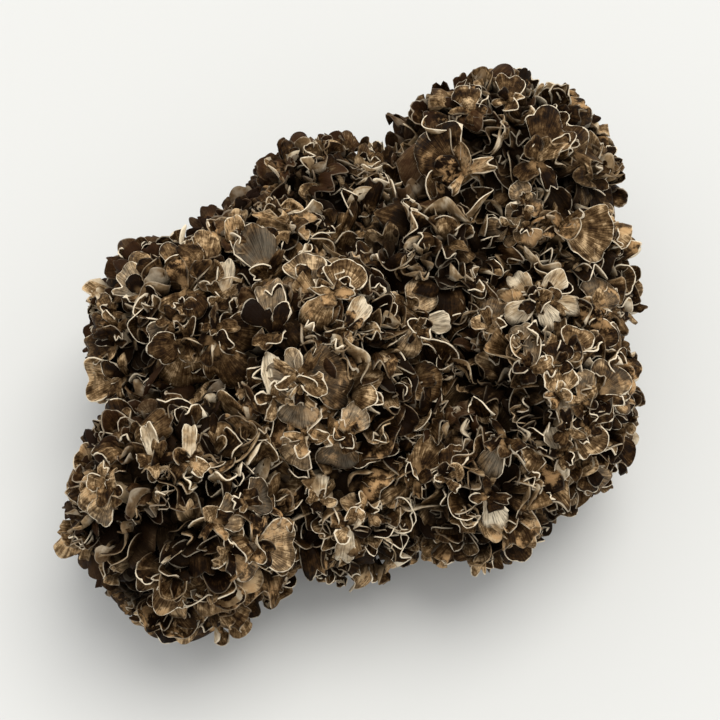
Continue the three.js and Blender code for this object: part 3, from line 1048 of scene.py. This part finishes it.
class Nodes:
    """A short way to write a material's node tree."""

    def __init__(self, name):
        self.material = bpy.data.materials.new(name)
        self.material.use_nodes = True
        self.tree = self.material.node_tree
        self.shader = self.tree.nodes["Principled BSDF"]

    def link(self, source, socket):
        if isinstance(source, bpy.types.NodeSocket):
            self.tree.links.new(source, socket)
        else:
            socket.default_value = source

    def add(self, kind, inputs):
        """A new node with a link or a constant on each of these inputs."""
        node = self.tree.nodes.new("ShaderNode" + kind)
        for name, value in inputs.items():
            self.link(value, node.inputs[name])
        return node

    def math(self, operation, a, b=0.0, clamp=False):
        node = self.add("Math", {0: a, 1: b})
        node.operation = operation
        node.use_clamp = clamp
        return node.outputs[0]

    def times(self, a, b):
        return self.math("MULTIPLY", a, b)

    def attribute(self, name, output):
        node = self.add("Attribute", {})
        node.attribute_name = name
        return node.outputs[output]

    def split(self, attribute):
        return self.add("SeparateXYZ", {0: self.attribute(attribute, "Vector")}).outputs

    def vector(self, x, y, z):
        return self.add("CombineXYZ", {"X": x, "Y": y, "Z": z}).outputs[0]

    def noise(self, vector, scale, detail, roughness, distortion=0.0):
        names = ("Vector", "Scale", "Detail", "Roughness", "Distortion")
        inputs = dict(zip(names, (vector, scale, detail, roughness, distortion)))
        return self.add("TexNoise", inputs).outputs["Fac"]

    def coordinates(self):
        return self.add("TexCoord", {}).outputs["Object"]

    def range(self, value, low, high, to_low=0.0, to_high=1.0):
        names = ("Value", "From Min", "From Max", "To Min", "To Max")
        node = self.add("MapRange", dict(zip(names, (value, low, high, to_low, to_high))))
        node.interpolation_type = "SMOOTHSTEP"
        return node.outputs["Result"]

    def ramp(self, value, stops):
        node = self.add("ValToRGB", {"Fac": value})
        elements = node.color_ramp.elements
        while len(elements) < len(stops):
            elements.new(0.5)
        for element, (place, colour) in zip(elements, stops):
            element.position = place
            element.color = (*colour, 1)
        return node.outputs["Color"]

    def blend(self, factor, first, second):
        node = self.tree.nodes.new("ShaderNodeMix")
        node.data_type = "RGBA"
        node.clamp_factor = True
        self.link(factor, node.inputs["Factor"])
        for socket, value in ((node.inputs[6], first), (node.inputs[7], second)):
            self.link(value if isinstance(value, bpy.types.NodeSocket) else (*value, 1), socket)
        return node.outputs[2]

    def bump(self, height, strength, distance):
        node = self.add("Bump", {"Strength": strength, "Distance": distance, "Height": height})
        self.link(node.outputs["Normal"], self.shader.inputs["Normal"])


def cap_material():
    """Grey-brown cap skin with radial fibres and mottling, pale rims, tan roots, a cream underside, and
    painted shade that darkens the caps far inside each head.
    """
    m = Nodes("cap_skin")
    u, v, edge = m.split("cap_place")
    under, tint, pale = m.split("cap_look")
    # burn is the real dark tips, depth is for painted shade far inside the head, clear is how plainly the
    # pale rim shows
    burn, depth, clear = m.split("cap_wear_and_shade")
    seed = m.times(tint, 57.0)
    place = m.coordinates()

    fibre = m.noise(m.vector(m.times(v, 26.0), m.times(u, 2.2), seed), 1.0, 4.0, 0.65)
    bands = m.vector(m.times(v, 1.6), m.times(u, 7.0), seed)
    zone = m.noise(bands, 1.0, 2.0, 0.5, 0.6)
    mottle = m.noise(place, 110.0, 5.0, 0.68)
    region = m.noise(place, 26.0, 3.0, 0.55)
    own_shade = m.math("SUBTRACT", tint, 0.5)
    shade = m.times(fibre, 0.26)
    for pattern, share in ((zone, 0.17), (mottle, 0.38), (region, 0.19), (own_shade, 0.16)):
        shade = m.math("ADD", shade, m.times(pattern, share))
    browns = [
        (0.43, (0.007, 0.0026, 0.0006)),
        (0.50, (0.041, 0.0205, 0.0070)),
        (0.57, (0.170, 0.106, 0.050)),
        (0.64, (0.70, 0.51, 0.30)),
    ]
    top = m.ramp(shade, browns)
    tan = m.times(m.range(u, 0.55, 0.15), m.range(mottle, 0.40, 0.60, 0.0, 0.9))
    tan = m.times(tan, m.range(m.math("FRACT", m.times(tint, 3.7)), 0.45, 0.7))
    top = m.blend(tan, top, (0.34, 0.215, 0.105))
    crumb = m.times(m.range(region, 0.54, 0.64), m.range(mottle, 0.48, 0.6, 0.0, 0.85))
    top = m.blend(crumb, top, (0.50, 0.31, 0.15))

    pore = m.noise(place, 900.0, 2.0, 0.6)
    patch = m.noise(place, 60.0, 3.0, 0.6)
    creams = [(0.38, (0.10, 0.06, 0.028)), (0.50, (0.36, 0.26, 0.15)), (0.62, (0.84, 0.74, 0.57))]
    cream = m.ramp(patch, creams)
    cream = m.blend(m.times(pore, 0.3), cream, (0.24, 0.15, 0.07))
    colour = m.blend(under, top, cream)
    flesh = m.ramp(patch, [(0.38, (0.40, 0.29, 0.17)), (0.58, (0.88, 0.78, 0.60))])
    bare = m.times(pale, m.range(fibre, 0.36, 0.56, 0.35, 1.0))
    colour = m.blend(bare, colour, flesh)

    width = m.range(m.noise(place, 210.0, 2.0, 0.5), 0.35, 0.65, 0.0, 0.5)
    rim = m.range(m.math("SUBTRACT", edge, width), 0.15, -0.02)
    unburnt = m.math("SUBTRACT", 1.0, m.times(burn, 1.3), clamp=True)
    bright = m.times(rim, m.times(unburnt, m.range(clear, 0.15, 0.75, 0.05, 0.95)))
    colour = m.blend(bright, colour, (0.90, 0.80, 0.63))

    reach = m.math("ADD", m.times(u, 0.8), m.times(mottle, 0.5))
    colour = m.blend(m.times(m.range(reach, 0.66, 0.86), burn), colour, (0.085, 0.036, 0.014))
    colour = m.blend(m.times(m.range(reach, 0.80, 0.96), burn), colour, (0.012, 0.006, 0.004))
    # Painted shade: caps far inside a head are blended almost to black, less so where a cap is bare and pale
    covered = m.math("SUBTRACT", 1.0, m.times(bare, 0.6))
    painted_shade = m.times(m.range(depth, 0.04, 0.25), covered)
    colour = m.blend(m.times(painted_shade, 0.94), colour, (0.008, 0.004, 0.0015))
    m.link(colour, m.shader.inputs["Base Color"])

    m.link(m.range(mottle, 0.35, 0.65, 0.5, 0.8), m.shader.inputs["Roughness"])
    height = m.math("ADD", m.times(fibre, 0.7), m.times(mottle, 1.2))
    m.bump(height, 0.7, 0.0014)
    m.shader.inputs["Specular IOR Level"].default_value = 0.06
    return m.material


def flesh_material():
    """Pale, slightly fibrous flesh, browner in patches, and darkened near the head cores as painted shade.
    """
    m = Nodes("flesh")
    place = m.coordinates()
    patch = m.noise(place, 30.0, 4.0, 0.6)
    fine = m.noise(place, 400.0, 3.0, 0.6)
    colour = m.ramp(patch, [(0.3, (0.16, 0.10, 0.05)), (0.5, (0.40, 0.30, 0.18)), (0.7, (0.60, 0.50, 0.36))])
    colour = m.blend(m.times(fine, 0.3), colour, (0.24, 0.16, 0.09))
    # Painted shade: flesh near the head cores is blended towards dark brown
    colour = m.blend(m.times(m.attribute("painted_core_shade", "Fac"), 0.85), colour, (0.045, 0.026, 0.014))
    m.link(colour, m.shader.inputs["Base Color"])
    m.shader.inputs["Roughness"].default_value = 0.75
    m.bump(m.math("ADD", patch, fine), 0.4, 0.001)
    return m.material


def make_floor():
    bpy.ops.mesh.primitive_plane_add(size=FLOOR_WIDTH)
    floor = bpy.context.object
    floor.name = "floor"
    m = Nodes("pale_floor")
    m.shader.inputs["Base Color"].default_value = FLOOR_COLOUR
    m.shader.inputs["Roughness"].default_value = 0.9
    floor.data.materials.append(m.material)


def aim_at(obj, target):
    obj.rotation_euler = (Vector(target) - obj.location).to_track_quat("-Z", "Y").to_euler()


def make_light():
    """A soft light from all round, and a wide lamp from the far right."""
    world = bpy.data.worlds.new("studio")
    bpy.context.scene.world = world
    world.use_nodes = True
    background = world.node_tree.nodes["Background"]
    background.inputs["Color"].default_value = SKY_COLOUR
    background.inputs["Strength"].default_value = SKY_STRENGTH
    lamp = bpy.data.lights.new("window", "SUN")
    lamp.angle = LAMP_SPREAD
    lamp.energy = LAMP_ENERGY
    lamp.color = LAMP_COLOUR
    key = add_object("window", lamp)
    key.location = LAMP_FROM
    aim_at(key, (0, 0, 0))


def make_camera():
    """The camera at the photo's angle."""
    data = bpy.data.cameras.new("camera")
    data.sensor_width = CAMERA_SENSOR
    data.lens = data.sensor_width / (2 * math.tan(CAMERA_VIEW / 2))
    camera = add_object("camera", data)
    camera.location = Vector(camera_axes()[0] * MM)
    aim_at(camera, CAMERA_TARGET * MM)
    bpy.context.scene.camera = camera


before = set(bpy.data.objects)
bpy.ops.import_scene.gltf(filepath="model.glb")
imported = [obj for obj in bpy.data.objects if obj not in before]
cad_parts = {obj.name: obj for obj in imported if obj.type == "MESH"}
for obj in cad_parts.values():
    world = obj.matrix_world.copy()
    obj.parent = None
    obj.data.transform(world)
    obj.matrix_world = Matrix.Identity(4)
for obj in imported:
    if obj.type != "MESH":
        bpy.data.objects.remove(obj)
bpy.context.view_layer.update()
make_camera()
make_floor()
make_light()
bpy.context.scene.view_settings.view_transform = "Standard"
cap_skin = cap_material()
standing = list(standouts())
drafts = [caps_of(each_head, standing) for each_head in HEADS]
total = 0
for each_head, kept, drawn in zip(HEADS, seen_caps(drafts), drafts):
    triangles = make_head(each_head, kept, cap_skin)
    total += triangles
    print(each_head.name, len(drawn), "caps drawn,", len(kept), "seen,", triangles, "triangles")
total += make_flesh(standing, flesh_material())
print("all", total, "triangles")
